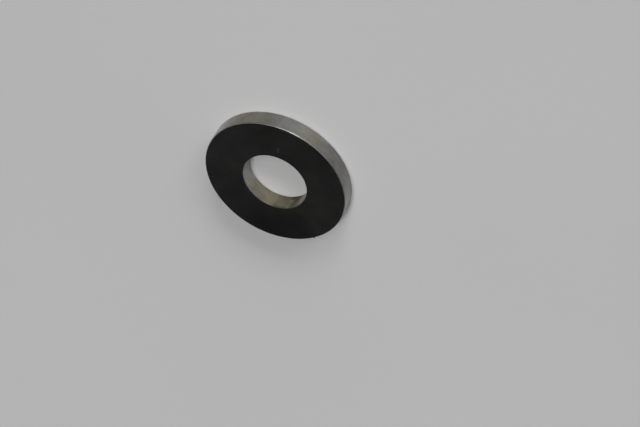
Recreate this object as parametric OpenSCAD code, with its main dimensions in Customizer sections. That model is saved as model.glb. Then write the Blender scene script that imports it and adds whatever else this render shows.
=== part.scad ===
// Weld washer: one flat steel ring, cut from black hot-rolled plate.
//
// It is made the way a turned washer is made. A blank of plate keeps its black
// rolled skin on both flat faces, its outside is turned to size, its middle is
// bored out, and the four sharp corners are broken with a light 45 degree cut.
// The turned outside, the bore and the broken edges are bare steel.
//
// Frame: millimetres, +Z along the washer's axis, origin at the centre of the
// face that it rests on.

/* [Ring] */
// Outside diameter of the turned rim
outer_d = 28.6; // [20:0.1:50]
// Diameter of the bore, which clears a 12 mm or half-inch bolt
bore_d = 13.0; // [6:0.1:16]
// Thickness of the plate, from one flat face to the other
plate_t = 3.45; // [1.5:0.05:8]

/* [Edges] */
// Edge break on the two corners of the rim, measured along each leg
rim_break = 0.12; // [0.02:0.01:0.5]
// Edge break on the two mouths of the bore, a mere deburring, along each leg
bore_break = 0.06; // [0.02:0.01:0.5]

/* [Finish] */
// Colour of the rolled skin on the flat faces
skin_colour = "#1d1d1c"; // ["#1d1d1c":black scale, "#3a3b3d":grey scale]
// Colour of the bare turned steel
steel_colour = "#8a8880"; // ["#8a8880":warm steel, "#a3a5a8":bright steel]

/* [Hidden] */
$fn = 192;

rim_r = outer_d / 2;
bore_r = bore_d / 2;
// How far a cut runs past the plate on each side
over = 1;
// Side of the square blank, clear of the rim all round
blank_w = outer_d + 4;

// The square blank of rolled plate. Only its two flat faces are left in the
// finished part, and they keep the black skin.
module plate_blank() {
  color(skin_colour)
    translate([-blank_w / 2, -blank_w / 2, 0])
      cube([blank_w, blank_w, plate_t]);
}

// Half section of the turned outside. Its two 45 degree flanks cross the
// plate's faces at rim_r - rim_break, so the edge break has its leg there.
function rim_section(r, t, c) = [
  [0, -over],
  [r - c - over, -over],
  [r, c],
  [r, t - c],
  [r - c - over, t + over],
  [0, t + over]
];

// Everything that the lathe leaves standing
module turned_outline() {
  color(steel_colour)
    rotate_extrude()
      polygon(rim_section(rim_r, plate_t, rim_break));
}

// Half section of the bore with its two countersunk mouths
function bore_section(r, t, c) = [
  [0, -over],
  [r + c + over, -over],
  [r, c],
  [r, t - c],
  [r + c + over, t + over],
  [0, t + over]
];

// Everything that the boring bar takes out
module bore_cut() {
  color(steel_colour)
    rotate_extrude()
      polygon(bore_section(bore_r, plate_t, bore_break));
}

// The finished washer, one solid
module washer() {
  difference() {
    intersection() {
      plate_blank();
      turned_outline();
    }
    bore_cut();
  }
}

washer();
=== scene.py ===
import math

import bpy
import numpy as np
from mathutils import Matrix, Vector


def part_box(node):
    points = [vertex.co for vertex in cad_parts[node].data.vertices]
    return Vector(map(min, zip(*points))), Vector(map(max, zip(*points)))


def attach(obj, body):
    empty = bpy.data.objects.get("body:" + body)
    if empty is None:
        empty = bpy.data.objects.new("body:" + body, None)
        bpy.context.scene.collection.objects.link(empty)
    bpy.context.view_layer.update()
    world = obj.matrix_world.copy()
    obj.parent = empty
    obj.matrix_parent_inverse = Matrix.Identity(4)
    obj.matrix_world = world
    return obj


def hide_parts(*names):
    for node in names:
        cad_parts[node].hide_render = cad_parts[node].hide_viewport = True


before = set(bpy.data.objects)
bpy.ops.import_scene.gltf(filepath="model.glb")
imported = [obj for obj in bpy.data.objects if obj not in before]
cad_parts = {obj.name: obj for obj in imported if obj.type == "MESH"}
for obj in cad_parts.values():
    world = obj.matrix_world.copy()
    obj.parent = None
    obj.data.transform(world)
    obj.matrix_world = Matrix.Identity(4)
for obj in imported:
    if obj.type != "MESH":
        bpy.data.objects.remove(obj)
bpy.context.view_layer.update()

SCENE = bpy.context.scene
MM = 0.001

# ---------------------------------------------------------------- sizes, from the CAD node's box (mm)
lo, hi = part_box("washer")
THICK = round(hi.z / MM, 3)            # 3.45
CAD_R = round(max(hi.x, hi.y) / MM, 3) # 14.3
RIM_R = CAD_R - 0.008 # the crests of the feed marks stay inside the CAD box, whose facets end at 14.295
BORE_R = 6.5
RIM_BREAK = 0.12                       # leg of the 45 degree break on the rim's corners
BORE_BREAK = 0.06                      # and on the bore's, a mere deburring

# azimuths on the ring, in degrees from +X, where the real one shows something particular
BURR_AZ = 146.5


# ---------------------------------------------------------------- mesh
def ripples(theta, orders, rng):
    """Smooth closed noise round the ring: a few whole-number waves with fixed phases, about -1 to 1."""
    out = np.zeros_like(theta)
    total = 0.0
    for k in orders:
        amp = 1.0 / math.sqrt(k)
        out += amp * np.sin(k * theta + rng.uniform(0, 2 * math.pi))
        total += amp * amp
    return out / math.sqrt(total) / 1.2


def corner(before, at, after):
    """Start, two middles and end of a small rounding where two straight runs meet."""
    radius = 0.03 if min(math.dist(before, at), math.dist(at, after)) > 0.12 else 0.022
    a, p, b = (np.array(v, float) for v in (before, at, after))
    d1, d2 = (a - p) / np.linalg.norm(a - p), (b - p) / np.linalg.norm(b - p)
    half = math.acos(max(-1.0, min(1.0, float(d1 @ d2)))) / 2
    reach = radius / math.tan(half)
    bis = (d1 + d2) / np.linalg.norm(d1 + d2)
    centre = p + bis * radius / math.sin(half)
    s, e = p + d1 * reach, p + d2 * reach
    out = []
    for t in (0.0, 1 / 3, 2 / 3, 1.0):
        v = (s - centre) * (1 - t) + (e - centre) * t
        out.append(centre + v / np.linalg.norm(v) * radius)
    return out


def washer_profile():
    """The ring's section as (r, z, zone) points in mm, once round, starting on the lower face by the bore.
    zone says what the point belongs to: low, low_rim, rim, top_rim, top, top_bore, bore, low_bore."""
    c, d = RIM_BREAK, BORE_BREAK
    R, b, t = RIM_R, BORE_R, THICK
    ring = [
        ((b + d, 0.0), "low"), ((R - c, 0.0), "low_rim"), ((R, c), "rim"), ((R, t - c), "top_rim"),
        ((R - c, t), "top"), ((b + d, t), "top_bore"), ((b, t - d), "bore"), ((b, d), "low_bore"),
    ]
    runs = {"low": 9, "rim": 44, "top": 21, "bore": 34}
    n = len(ring)
    points = []
    for i, (p, zone) in enumerate(ring):
        before, after = ring[i - 1][0], ring[(i + 1) % n][0]
        prev_zone = ring[i - 1][1]
        arc = corner(before, p, after)
        for k, q in enumerate(arc):
            points.append((q[0], q[1], prev_zone if k < 2 else zone))
        nxt = corner(p, after, ring[(i + 2) % n][0])
        s, e = arc[-1], nxt[0]
        length = float(np.linalg.norm(e - s))
        if zone in runs:
            guard = 0.03 / length
            inner = np.linspace(guard, 1 - guard, runs[zone])
        else:
            inner = np.array([0.22, 0.78])
        for f in inner:
            q = s + (e - s) * f
            points.append((q[0], q[1], zone))
    return points


def flat_map(verts, section, strip, segments):
    """Where each quad's four corners go on a square map, for baking: the two faces as discs side by side in the lower
    half, and above them the rim with its breaks in three rows and the bore with its breaks in one."""
    m, side = len(section), 1024.0
    xy = verts.reshape(segments, m, 3)[:, :, :2] / MM
    step = np.linalg.norm(np.roll(section, -1, 0) - section, axis=1)
    uv = np.zeros((segments, m, 4, 2))
    i = np.arange(segments)
    for which, rows, base, height in (("rim", 3, 516.0, 118.0), ("bore", 1, 516.0 + 3 * 127.0, 118.0)):
        on = np.flatnonzero(strip == {"rim": 1, "bore": 2}[which])
        start = next(j for j in on if strip[j - 1] != strip[j])
        order = [(start + k) % m for k in range(len(on))]
        along = np.concatenate([[0.0], np.cumsum(step[order])])
        along /= along[-1]
        per = segments // rows
        row = i // per
        for k, j in enumerate(order):
            for corner_no, (di, dk) in enumerate(((0, 0), (0, 1), (1, 1), (1, 0))):
                round_ = (i - row * per + di) / per
                rise = along[k + dk]
                if which == "bore":
                    round_, rise = 1 - round_, 1 - rise
                uv[:, j, corner_no, 0] = 6.0 + 1012.0 * round_
                uv[:, j, corner_no, 1] = base + 127.0 * row + height * rise
    top = section[:, 1] > THICK / 2
    for j in np.flatnonzero(strip == 0):
        j2 = (j + 1) % m
        for corner_no, (di, jj) in enumerate(((0, j), (0, j2), (1, j2), (1, j))):
            p = np.roll(xy[:, jj], -di, 0)
            uv[:, j, corner_no, 0] = (256.0 + 17.6 * p[:, 0]) if top[j] else (768.0 - 17.6 * p[:, 0])
            uv[:, j, corner_no, 1] = 256.0 + 17.6 * p[:, 1]
    return uv / side


def build_ring(name, segments):
    rng = np.random.RandomState(41)
    prof = washer_profile()
    m = len(prof)
    r0 = np.array([p[0] for p in prof])
    z0 = np.array([p[1] for p in prof])
    zone = np.array([p[2] for p in prof])
    theta = np.arange(segments) * 2 * math.pi / segments
    r = np.repeat(r0[None, :], segments, 0)
    z = np.repeat(z0[None, :], segments, 0)

    # fine feed marks left by the tool on the rim and in the bore, a few microns deep, that swell and fade round the ring
    def feed(zs, pitch, seed):
        g = np.random.RandomState(seed)
        depth = 0.55 + 0.45 * np.sin(zs * 2 * math.pi / 1.1 + g.uniform(0, 6)) * np.sin(zs * 2 * math.pi / 0.47 + g.uniform(0, 6))
        return depth * np.sin(2 * math.pi * zs / pitch + 0.8 * np.sin(zs * 3.1 + g.uniform(0, 6)))

    fade = 1 + 0.35 * ripples(theta, (1, 2, 3, 5, 8), rng)
    on_rim, in_bore = zone == "rim", zone == "bore"
    edge = np.clip(np.minimum(z0 - RIM_BREAK, THICK - RIM_BREAK - z0) / 0.12, 0, 1)
    r[:, on_rim] += 0.0022 * np.outer(fade, feed(z0[on_rim], 0.205, 5) * edge[on_rim])
    r[:, in_bore] += 0.0028 * np.outer(1 + 0.35 * ripples(theta, (1, 2, 4, 7), rng), feed(z0[in_bore], 0.23, 9) * edge[in_bore])

    # the rolled faces are very slightly uneven; neither rises past its plane
    for which, sign, seed in (("top", -1, 3), ("low", 1, 8)):
        g = np.random.RandomState(seed)
        on = zone == which
        rr, tt = np.meshgrid(r0[on], theta)
        x, y = rr * np.cos(tt), rr * np.sin(tt)
        h = np.zeros_like(x)
        for _ in range(14):
            a, w = g.uniform(0, 2 * math.pi), g.uniform(1.6, 5.5)
            h += np.sin((x * math.cos(a) + y * math.sin(a)) * 2 * math.pi / w + g.uniform(0, 6.3)) * w / 5.5
        h = (h - h.min()) / (h.max() - h.min())
        rim_in = np.clip(np.minimum(r0[on] - BORE_R - BORE_BREAK, RIM_R - RIM_BREAK - r0[on]) / 0.25, 0, 1)
        z[:, on] += sign * 0.009 * h * rim_in

    # the breaks were struck by hand or by a light touch of the tool: their width wanders a little
    for which, inner_zone, out_r, seed in (("top_rim", "top", 1, 21), ("low_rim", "low", 1, 22), ("top_bore", "top", -1, 23), ("low_bore", "low", -1, 24)):
        g = np.random.RandomState(seed)
        wander = (0.010 if out_r > 0 else 0.006) * ripples(theta, (2, 3, 5, 9, 14, 23, 37), g)
        near = np.abs(r0 - (RIM_R - RIM_BREAK if out_r > 0 else BORE_R + BORE_BREAK)) < 0.05
        level = np.abs(z0 - (THICK if "top" in which else 0.0)) < 0.03
        move = near & level
        r[:, move] += np.outer(wander, np.ones(move.sum()))

    # one small burr on the upper outer edge
    d = (theta - math.radians(BURR_AZ) + math.pi) % (2 * math.pi) - math.pi
    arc = d * RIM_R
    bump = np.exp(-np.abs(arc / 0.17) ** 2.4)
    upper = np.exp(-((z0 - (THICK - 0.16)) / 0.13) ** 2) * (r0 > RIM_R - RIM_BREAK - 0.02)
    r += 0.25 * np.outer(bump, upper)

    x = r * np.cos(theta)[:, None] * MM
    y = r * np.sin(theta)[:, None] * MM
    verts = np.stack([x, y, np.clip(z, 0, THICK) * MM], -1).reshape(-1, 3)
    i, j = np.meshgrid(np.arange(segments), np.arange(m), indexing="ij")
    i2, j2 = (i + 1) % segments, (j + 1) % m
    quads = np.stack([i * m + j, i * m + j2, i2 * m + j2, i2 * m + j], -1).reshape(-1, 4)

    a, b_, c_, d_ = (verts[quads[:, k]] for k in range(4))
    volume = (np.einsum("ij,ij->i", a, np.cross(b_, c_)) + np.einsum("ij,ij->i", a, np.cross(c_, d_))).sum() / 6
    strip = np.array([{"low": 0, "top": 0, "rim": 1, "low_rim": 1, "top_rim": 1, "bore": 2, "low_bore": 2, "top_bore": 2}[q] for q in zone])
    places = flat_map(verts, np.stack([r0, z0], 1), strip, segments).reshape(-1, 4, 2)
    if volume < 0:
        quads, places = quads[:, ::-1], places[:, ::-1]

    mesh = bpy.data.meshes.new(name)
    mesh.from_pydata(verts.tolist(), [], quads.tolist())
    mesh.update()
    mesh.polygons.foreach_set("material_index", np.tile(strip, segments).astype(np.int32))
    mesh.polygons.foreach_set("use_smooth", np.ones(len(quads), bool))
    mesh.uv_layers.new(name="OFBake").data.foreach_set("uv", places.reshape(-1).astype(np.float32))
    mesh.update()
    ob = bpy.data.objects.new(name, mesh)
    SCENE.collection.objects.link(ob)
    return ob, len(quads) * 2, m


# ---------------------------------------------------------------- node helpers
class Tree:
    def __init__(self, tree):
        self.t = tree
        tree.nodes.clear()

    def new(self, kind, **props):
        n = self.t.nodes.new(kind)
        for k, v in props.items():
            setattr(n, k, v)
        return n

    def put(self, socket, value):
        if isinstance(value, bpy.types.NodeSocket):
            self.t.links.new(value, socket)
        elif value is not None:
            socket.default_value = value

    def math(self, op, a, b=None, c=None, clamp=False):
        n = self.new("ShaderNodeMath", operation=op, use_clamp=clamp)
        for k, v in enumerate((a, b, c)):
            if v is not None:
                self.put(n.inputs[k], v)
        return n.outputs[0]

    def xyz(self, x, y, z):
        n = self.new("ShaderNodeCombineXYZ")
        for k, v in enumerate((x, y, z)):
            self.put(n.inputs[k], v)
        return n.outputs[0]

    def noise(self, vector, scale=1.0, detail=3.0, rough=0.5, warp=0.0):
        n = self.new("ShaderNodeTexNoise", noise_dimensions="3D")
        self.put(n.inputs["Vector"], vector)
        n.inputs["Scale"].default_value = scale
        n.inputs["Detail"].default_value = detail
        n.inputs["Roughness"].default_value = rough
        n.inputs["Distortion"].default_value = warp
        return n.outputs[0]

    def voronoi(self, vector, scale, feature="F1"):
        n = self.new("ShaderNodeTexVoronoi", feature=feature)
        self.put(n.inputs["Vector"], vector)
        n.inputs["Scale"].default_value = scale
        return n.outputs["Distance"]

    def span(self, value, a, b, c=0.0, d=1.0, smooth=True):
        n = self.new("ShaderNodeMapRange", interpolation_type="SMOOTHSTEP" if smooth else "LINEAR", clamp=True)
        self.put(n.inputs["Value"], value)
        for k, v in zip(("From Min", "From Max", "To Min", "To Max"), (a, b, c, d)):
            self.put(n.inputs[k], v)
        return n.outputs["Result"]

    def mix(self, factor, a, b, blend="MIX"):
        n = self.new("ShaderNodeMix", data_type="RGBA", blend_type=blend)
        self.put(n.inputs["Factor"], factor)
        for sock, v in ((n.inputs[6], a), (n.inputs[7], b)):
            self.put(sock, (*v, 1.0) if isinstance(v, tuple) and len(v) == 3 else v)
        return n.outputs[2]

    def bump(self, height, distance, normal=None, strength=1.0):
        n = self.new("ShaderNodeBump")
        n.inputs["Strength"].default_value = strength
        n.inputs["Distance"].default_value = distance
        self.put(n.inputs["Height"], height)
        if normal is not None:
            self.put(n.inputs["Normal"], normal)
        return n.outputs[0]


class Ring(Tree):
    """A material's tree with the ring's own cylindrical coordinates: out (metres from the axis), u and v (unit direction from the axis) and z."""

    def __init__(self, name):
        self.mat = bpy.data.materials.new(name)
        self.mat.use_nodes = True
        super().__init__(self.mat.node_tree)
        self.place = self.new("ShaderNodeTexCoord").outputs["Object"]
        sep = self.new("ShaderNodeSeparateXYZ")
        self.put(sep.inputs[0], self.place)
        self.x, self.y, self.z = sep.outputs
        self.out = self.math("SQRT", self.math("ADD", self.math("MULTIPLY", self.x, self.x), self.math("MULTIPLY", self.y, self.y)))
        self.u = self.math("DIVIDE", self.x, self.out)
        self.v = self.math("DIVIDE", self.y, self.out)

    def around(self, turn, rise, offset=0.0):
        """Coordinates for marks drawn out round the ring: turn sets how short they are, rise how thin."""
        return self.xyz(self.math("MULTIPLY_ADD", self.u, turn, offset), self.math("MULTIPLY", self.v, turn), self.math("MULTIPLY", self.z, rise))

    def facing(self, azimuth, half_width, power=1.0):
        """1 at that azimuth, falling smoothly to 0 half_width degrees away."""
        a = math.radians(azimuth)
        dot = self.math("ADD", self.math("MULTIPLY", self.u, math.cos(a)), self.math("MULTIPLY", self.v, math.sin(a)))
        return self.span(dot, math.cos(math.radians(half_width)), 1.0)

    def finish(self, colour, metallic, roughness, normal, specular=0.5, anisotropic=0.0, turn=0.0, tangent=None, film=0.0):
        p = self.new("ShaderNodeBsdfPrincipled")
        self.put(p.inputs["Base Color"], colour)
        self.put(p.inputs["Metallic"], metallic)
        self.put(p.inputs["Roughness"], roughness)
        self.put(p.inputs["Normal"], normal)
        p.inputs["Specular IOR Level"].default_value = specular
        p.inputs["Anisotropic"].default_value = anisotropic
        p.inputs["Anisotropic Rotation"].default_value = turn
        if tangent is not None:
            self.put(p.inputs["Tangent"], tangent)
        p.inputs["Coat Weight"].default_value = film
        p.inputs["Coat Roughness"].default_value = 0.22
        out = self.new("ShaderNodeOutputMaterial")
        self.put(out.inputs["Surface"], p.outputs[0])
        return self.mat


# ---------------------------------------------------------------- materials
def rolled_scale():
    """Black rolled scale on the flat faces: matt, nearly even, faintly mottled and grained."""
    s = Ring("black_rolled_scale")
    cloud = s.noise(s.place, 260, 4, 0.55)
    grain = s.noise(s.place, 5200, 3, 0.6)
    fine = s.noise(s.place, 14000, 2, 0.5)
    crumb = s.noise(s.place, 2300, 3, 0.65)
    tone = s.math("ADD", s.math("MULTIPLY", cloud, 0.24), s.math("ADD", s.math("MULTIPLY", crumb, 0.38), s.math("MULTIPLY", grain, 0.38)))
    colour = s.mix(s.span(tone, 0.38, 0.62), (0.0080, 0.0080, 0.0077), (0.0150, 0.0149, 0.0143))
    # painted shade, blacker on one side of the ring towards its rim, and painted light, a little greyer, on two other
    # sides
    colour = s.mix(s.math("MULTIPLY", s.facing(118, 44), s.span(s.out, 6.6 * MM, 11 * MM, 0.3, 1.0)), colour, s.mix(1.0, colour, (0.48, 0.48, 0.48), "MULTIPLY"))
    colour = s.mix(s.facing(4, 60), colour, s.mix(1.0, colour, (1.30, 1.30, 1.31), "MULTIPLY"))
    colour = s.mix(s.facing(180, 70), colour, s.mix(1.0, colour, (1.26, 1.26, 1.26), "MULTIPLY"))
    # one short light scuff between the bore and the rim
    dx = s.math("SUBTRACT", s.x, 2.50 * MM)
    dy = s.math("SUBTRACT", s.y, -8.16 * MM)
    along = s.math("SUBTRACT", s.math("MULTIPLY", dy, 0.982), s.math("MULTIPLY", dx, 0.188))
    across = s.math("ADD", s.math("MULTIPLY", dx, 0.982), s.math("MULTIPLY", dy, 0.188))
    away = s.math("SQRT", s.math("ADD", s.math("POWER", s.math("DIVIDE", along, 0.88 * MM), 2.0), s.math("POWER", s.math("DIVIDE", across, 0.31 * MM), 2.0)))
    scuff = s.math("MULTIPLY", s.span(s.math("ADD", away, s.math("MULTIPLY", s.math("SUBTRACT", crumb, 0.5), 1.2)), 1.2, 0.2), s.span(grain, 0.30, 0.62, 0.5, 1.0))
    scuff = s.math("MULTIPLY", scuff, s.span(s.z, 3.0 * MM, 3.3 * MM))
    colour = s.mix(scuff, colour, (0.037, 0.0365, 0.035))
    rough = s.math("ADD", s.span(cloud, 0.3, 0.7, 0.50, 0.60), s.math("MULTIPLY", s.math("SUBTRACT", grain, 0.5), 0.12))
    pits = s.span(s.voronoi(s.place, 3600), 0.0, 0.35)
    height = s.math("ADD", s.math("ADD", s.math("MULTIPLY", grain, 1.0), s.math("MULTIPLY", fine, 0.35)), s.math("MULTIPLY", pits, 0.5))
    normal = s.bump(height, 0.012 * MM, strength=0.8)
    return s.finish(colour, 0.0, rough, normal, specular=0.3)


def bare_steel(name, base, seed, casts_and_painted_light, extra=None, roughness=(0.32, 0.40), aniso=0.65, film=0.0):
    """Bare steel from the tool. Hair-fine marks run round the ring, so a highlight on it stands up along the axis.
    The stretches listed are (azimuth, half width, strength, colour): a little darker, lighter or warmer than the rest.
    The warmer ones are the steel's own colour; the grey darker and lighter ones are painted shade and painted light.
    film is a thin coat of oil over all of it, which brightens it where it is seen at a shallow angle."""
    s = Ring(name)
    hair = s.noise(s.around(3.0, 21000, seed), 1.0, 4, 0.6)            # the finest marks, about 0.05 mm apart
    line = s.noise(s.around(1.6, 6500, seed + 5.3), 1.0, 3, 0.55)      # a few deeper ones among them
    grime = s.noise(s.place, 620, 4, 0.6)                              # faint uneven film, patches of a millimetre or two
    speck = s.noise(s.place, 4200, 2, 0.5)
    band = s.noise(s.around(4.0, 2300, seed + 11.7), 1.0, 2, 0.5)      # broader tool lines, a few tenths of a millimetre wide
    blotch = s.noise(s.place, 1900, 3, 0.6)                            # handling marks of half a millimetre
    cast = s.noise(s.xyz(s.math("ADD", s.x, 0.31), s.y, s.z), 1300, 2, 0.5)  # where they are a little warmer or greener
    marks = s.math("ADD", s.math("MULTIPLY", hair, 0.6), s.math("MULTIPLY", line, 0.4))
    colour = s.mix(s.span(marks, 0.34, 0.66), tuple(c * 0.90 for c in base), tuple(c * 1.08 for c in base))
    colour = s.mix(s.span(grime, 0.38, 0.66, 0.0, 0.55), colour, s.mix(1.0, colour, (0.86, 0.84, 0.78), "MULTIPLY"))
    colour = s.mix(s.span(speck, 0.60, 0.74, 0.0, 0.40), colour, s.mix(1.0, colour, (0.62, 0.58, 0.50), "MULTIPLY"))
    tone = s.math("MULTIPLY_ADD", band, 0.44, 0.78)
    tone = s.math("MULTIPLY", tone, s.math("MULTIPLY_ADD", blotch, 0.34, 0.83))
    tone = s.math("MULTIPLY", tone, s.math("MULTIPLY_ADD", speck, 0.40, 0.80))
    streak = s.noise(s.around(5.0, 1500, seed + 3.9), 1.0, 2, 0.5)     # oil wiped along the marks, warmer or greener
    shift = s.math("ADD", s.math("MULTIPLY_ADD", cast, 0.12, -0.06), s.math("MULTIPLY_ADD", streak, 0.16, -0.08))
    colour = s.mix(1.0, colour, s.xyz(s.math("MULTIPLY", tone, s.math("ADD", 1.0, shift)), tone, s.math("MULTIPLY", tone, s.math("SUBTRACT", 1.0, shift))), "MULTIPLY")
    # warmer stretches are the steel's own colour; grey stretches are painted shade and painted light
    for azimuth, width, strength, cast_and_painted_light in casts_and_painted_light:
        here = s.math("MULTIPLY", s.facing(azimuth, width), s.span(grime, 0.30, 0.60, 0.6 * strength, strength))
        colour = s.mix(here, colour, s.mix(1.0, colour, cast_and_painted_light, "MULTIPLY"))
    rough = s.math("ADD", s.span(line, 0.3, 0.7, *roughness), s.span(grime, 0.38, 0.66, 0.0, 0.05))
    metallic = 1.0
    if extra is not None:
        colour, rough, metallic = extra(s, colour, rough, grime, speck)
    height = s.math("ADD", s.math("MULTIPLY", line, 1.0), s.math("MULTIPLY", hair, 0.5))
    normal = s.bump(height, 0.0025 * MM, strength=1.0)
    tangent = s.new("ShaderNodeTangent", direction_type="RADIAL", axis="Z").outputs[0]
    return s.finish(colour, metallic, rough, normal, anisotropic=aniso, turn=0.25, tangent=tangent, film=film)


def bore_dirt(s, colour, rough, grime, speck):
    """The brown oil stain by the bore's lower mouth, the smear that runs up from it, and the dull upper mouth."""
    ragged = s.math("MULTIPLY", s.math("SUBTRACT", grime, 0.5), 1.6 * MM)
    low = s.span(s.math("ADD", s.z, ragged), 1.35 * MM, 0.45 * MM)
    film = s.math("MULTIPLY", s.math("MULTIPLY", s.facing(130, 26), low), 0.42)
    heart = s.math("MULTIPLY", s.facing(141, 13), s.span(s.math("MULTIPLY_ADD", ragged, 0.5, s.z), 1.25 * MM, 0.70 * MM))
    pool = s.math("MAXIMUM", film, heart)
    middle = s.math("MULTIPLY_ADD", s.z, -math.radians(4.0) / (THICK * MM), math.radians(147.5))
    wander = s.math("ADD", s.math("MULTIPLY_ADD", grime, 0.17, -0.085), s.math("MULTIPLY_ADD", speck, 0.10, -0.05))
    aside = s.math("ADD", s.math("ABSOLUTE", s.math("SUBTRACT", s.math("ARCTAN2", s.v, s.u), middle)), wander)
    smear = s.math("MULTIPLY", s.span(aside, math.radians(11.0), math.radians(3.0)), s.span(s.z, 3.3 * MM, 1.2 * MM, 0.5, 1.0))
    stain = s.math("MULTIPLY", s.math("MAXIMUM", pool, smear), s.span(speck, 0.30, 0.62, 0.75, 1.0))
    colour = s.mix(s.math("MULTIPLY", stain, s.math("MULTIPLY_ADD", heart, 0.10, 0.85)), colour, BROWN)
    # further round, the upper half of the wall is duller
    dull = s.math("MULTIPLY", s.facing(156, 24), s.span(s.math("ADD", s.z, ragged), 1.9 * MM, 2.9 * MM))
    colour = s.mix(dull, colour, s.mix(1.0, colour, (0.72, 0.71, 0.68), "MULTIPLY"))
    # a short stretch just under the upper mouth is darker
    darker_under_mouth = s.math("MULTIPLY", s.facing(118, 15), s.span(s.math("MULTIPLY_ADD", ragged, 0.4, s.z), 2.85 * MM, 3.25 * MM))
    colour = s.mix(darker_under_mouth, colour, s.mix(1.0, colour, (0.62, 0.60, 0.55), "MULTIPLY"))
    # the upper mouth: barely broken, so dull and a little dark
    mouth = s.span(s.z, (THICK - 0.10) * MM, (THICK - 0.05) * MM)
    colour = s.mix(s.math("MULTIPLY", mouth, 0.75), colour, (0.060, 0.058, 0.052))
    rough = s.math("ADD", rough, s.math("ADD", s.math("MULTIPLY", stain, 0.18), s.math("MULTIPLY", mouth, 0.25)))
    metallic = s.math("SUBTRACT", 1.0, s.math("MAXIMUM", s.math("MULTIPLY", stain, 0.35), s.math("MULTIPLY", mouth, 0.6)))
    return colour, rough, metallic


def rim_breaks_painted_highlights(s, colour, rough, grime, speck):
    """The two breaks, which are duller than the rim between them, with painted highlights along them and painted shade
    in one place.
    """
    cut = s.math("MAXIMUM", s.span(s.z, (THICK - RIM_BREAK - 0.03) * MM, (THICK - RIM_BREAK + 0.01) * MM), s.span(s.z, (RIM_BREAK + 0.03) * MM, (RIM_BREAK - 0.01) * MM))
    cut = s.math("MULTIPLY", cut, s.span(speck, 0.32, 0.60, 0.55, 1.0))
    # painted highlights brighten the breaks here and there, and painted shade darkens them in one place
    for azimuth, width, gain in ((-85, 5.5, 1.40), (-98, 7, 0.78), (-75, 4, 1.15), (-58, 11, 1.75), (-37, 15, 1.38), (-112, 9, 1.22), (-143, 13, 1.35), (60, 30, 1.25), (165, 14, 1.3)):
        colour = s.mix(s.math("MULTIPLY", cut, s.facing(azimuth, width)), colour, s.mix(1.0, colour, (gain, gain, gain * 1.01), "MULTIPLY"))
    rough = s.math("MULTIPLY_ADD", cut, -0.06, rough)
    return colour, rough, s.math("MULTIPLY_ADD", cut, -0.42, 1.0)


BROWN = (0.066, 0.055, 0.021)

washer, triangles, ring_points = build_ring("weld_washer_ring", 648)
washer.data.materials.append(rolled_scale())
# along the rim the grey darker stretches at -147, -126, -79 and -61 are painted shade in the reflection round the ring;
# the yellower ones are the steel's own warmer colour
washer.data.materials.append(bare_steel(
    "turned_rim_steel", (0.286, 0.282, 0.271), 0.0,
    [(-147, 12, 1.0, (0.89, 0.89, 0.89)), (-126, 17, 1.0, (0.83, 0.825, 0.81)),
     (-98, 15, 0.65, (0.98, 0.965, 0.81)), (-79, 8, 1.0, (0.89, 0.89, 0.89)), (-61, 11, 1.0, (0.83, 0.83, 0.82)), (-52, 11, 0.8, (1.0, 0.98, 0.86)),
     (-34, 18, 0.9, (0.80, 0.775, 0.67)), (66, 26, 0.7, (0.96, 0.94, 0.80)), (140, 20, 0.7, (0.88, 0.86, 0.82))], rim_breaks_painted_highlights, film=0.6))
# in the bore the grey stretches are painted light, lighter at 42 and 101, and painted shade, darker at 81 and 164; the
# yellower and browner ones are the steel's own colour
washer.data.materials.append(bare_steel(
    "bored_steel", (0.353, 0.348, 0.334), 17.0,
    [(42, 24, 1.0, (1.30, 1.30, 1.33)), (66, 18, 0.8, (0.99, 0.98, 0.76)), (107, 34, 1.0, (0.77, 0.70, 0.53)),
     (138, 25, 1.0, (0.85, 0.80, 0.56)), (164, 14, 0.4, (0.88, 0.85, 0.78)), (81, 9, 0.9, (0.90, 0.88, 0.84)), (101, 9, 1.0, (1.10, 1.08, 1.02)), (-60, 40, 0.7, (0.96, 0.91, 0.76)),
     (-140, 30, 0.6, (0.86, 0.85, 0.84))], bore_dirt))
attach(washer, "root")
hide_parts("washer")
print("RING", triangles, "triangles,", ring_points, "points in the section")

# ---------------------------------------------------------------- floor
half = 4.0
floor_mesh = bpy.data.meshes.new("floor")
floor_mesh.from_pydata([(-half, -half, 0), (half, -half, 0), (half, half, 0), (-half, half, 0)], [], [(0, 1, 2, 3)])
floor = bpy.data.objects.new("floor", floor_mesh)
floor.location.z = -0.00002
SCENE.collection.objects.link(floor)
paper = bpy.data.materials.new("pale_floor")
paper.use_nodes = True
f = Tree(paper.node_tree)
shade = f.noise(f.new("ShaderNodeTexCoord").outputs["Object"], 9.0, 2, 0.5)
p = f.new("ShaderNodeBsdfPrincipled")
f.put(p.inputs["Base Color"], f.mix(f.span(shade, 0.3, 0.7), (0.786, 0.786, 0.786), (0.80, 0.80, 0.80)))
p.inputs["Roughness"].default_value = 0.9
p.inputs["Specular IOR Level"].default_value = 0.1
f.put(f.new("ShaderNodeOutputMaterial").inputs["Surface"], p.outputs[0])
floor_mesh.materials.append(paper)


# ---------------------------------------------------------------- light
def sun(name, azimuth, elevation, angle, power, colour=(1.0, 1.0, 1.0)):
    data = bpy.data.lights.new(name, "SUN")
    data.angle = math.radians(angle)
    data.energy = power
    data.color = colour
    ob = bpy.data.objects.new(name, data)
    a, e = math.radians(azimuth), math.radians(elevation)
    to = Vector((math.cos(a) * math.cos(e), math.sin(a) * math.cos(e), math.sin(e)))
    ob.rotation_mode = "QUATERNION"
    ob.rotation_quaternion = to.to_track_quat("Z", "Y")
    ob.location = to * 0.5
    SCENE.collection.objects.link(ob)


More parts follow.
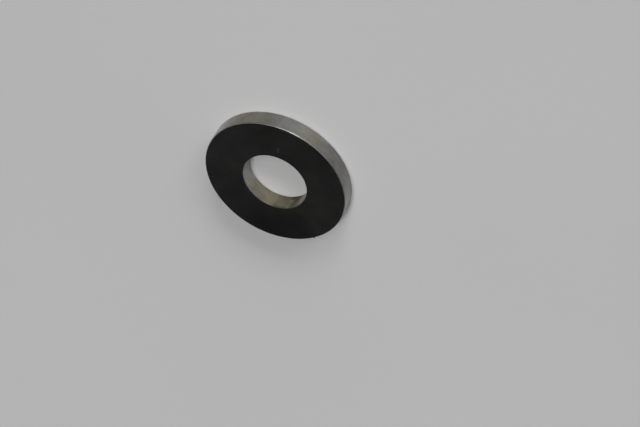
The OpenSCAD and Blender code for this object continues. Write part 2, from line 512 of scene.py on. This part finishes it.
sun("high", -50, 80, 24, 1.02)
sun("key", -66, 46, 26, 0.35)
sun("low_right", -74, 15, 18, 1.00)
sun("low_left", -98, 15, 18, 0.70)
sun("fill", -116, 32, 36, 0.10)

world = bpy.data.worlds.new("studio")
world.use_nodes = True
SCENE.world = world
w = Tree(world.node_tree)
sky = w.new("ShaderNodeSeparateXYZ")
w.put(sky.inputs[0], w.new("ShaderNodeTexCoord").outputs["Generated"])
far_side = w.span(sky.outputs[1], -0.9, 0.5)
upper = w.mix(far_side, (0.0, 0.0, 0.0), (0.02, 0.02, 0.02))
colour = w.mix(w.span(sky.outputs[2], 0.04, 0.14), (0.447, 0.447, 0.447), upper)
bg = w.new("ShaderNodeBackground")
w.put(bg.inputs["Color"], colour)
bg.inputs["Strength"].default_value = 1.0
w.put(w.new("ShaderNodeOutputWorld").inputs["Surface"], bg.outputs[0])

# ---------------------------------------------------------------- camera
# The washer lies flat with its black face up. The camera looks down on it at the angle to that face at which it was photographed.
R = CAD_R * MM
centre = Vector((-0.59785 * R, -0.41312 * R, 34.26559 * R))          # face centre, in camera axes: right, down, forward
up = Vector((-0.37683, 0.64974, -0.66018)).normalized()           # face normal, in the same axes
line = centre.normalized()
away = (line - up * line.dot(up)).normalized()
side = away.cross(up)
to_world = Matrix((side, away, up))                            # rows: world X, Y and Z in camera axes
place = Vector((0, 0, THICK * MM)) - to_world @ centre
right, cam_up, back = (to_world @ Vector(v) for v in ((1, 0, 0), (0, -1, 0), (0, 0, -1)))
cam = bpy.data.objects.new("camera", bpy.data.cameras.new("camera"))
cam.matrix_world = Matrix(((right.x, cam_up.x, back.x, place.x), (right.y, cam_up.y, back.y, place.y), (right.z, cam_up.z, back.z, place.z), (0, 0, 0, 1)))
cam.data.sensor_width = 36
cam.data.lens = 36 * 2601.8 / 640
cam.data.clip_start, cam.data.clip_end = 0.01, 20
cam.data.dof.use_dof = False
SCENE.collection.objects.link(cam)
SCENE.camera = cam

SCENE.view_settings.view_transform = "Standard"
SCENE.view_settings.look = "None"
SCENE.view_settings.exposure = 0.0
SCENE.view_settings.gamma = 1.0

bpy.context.view_layer.update()
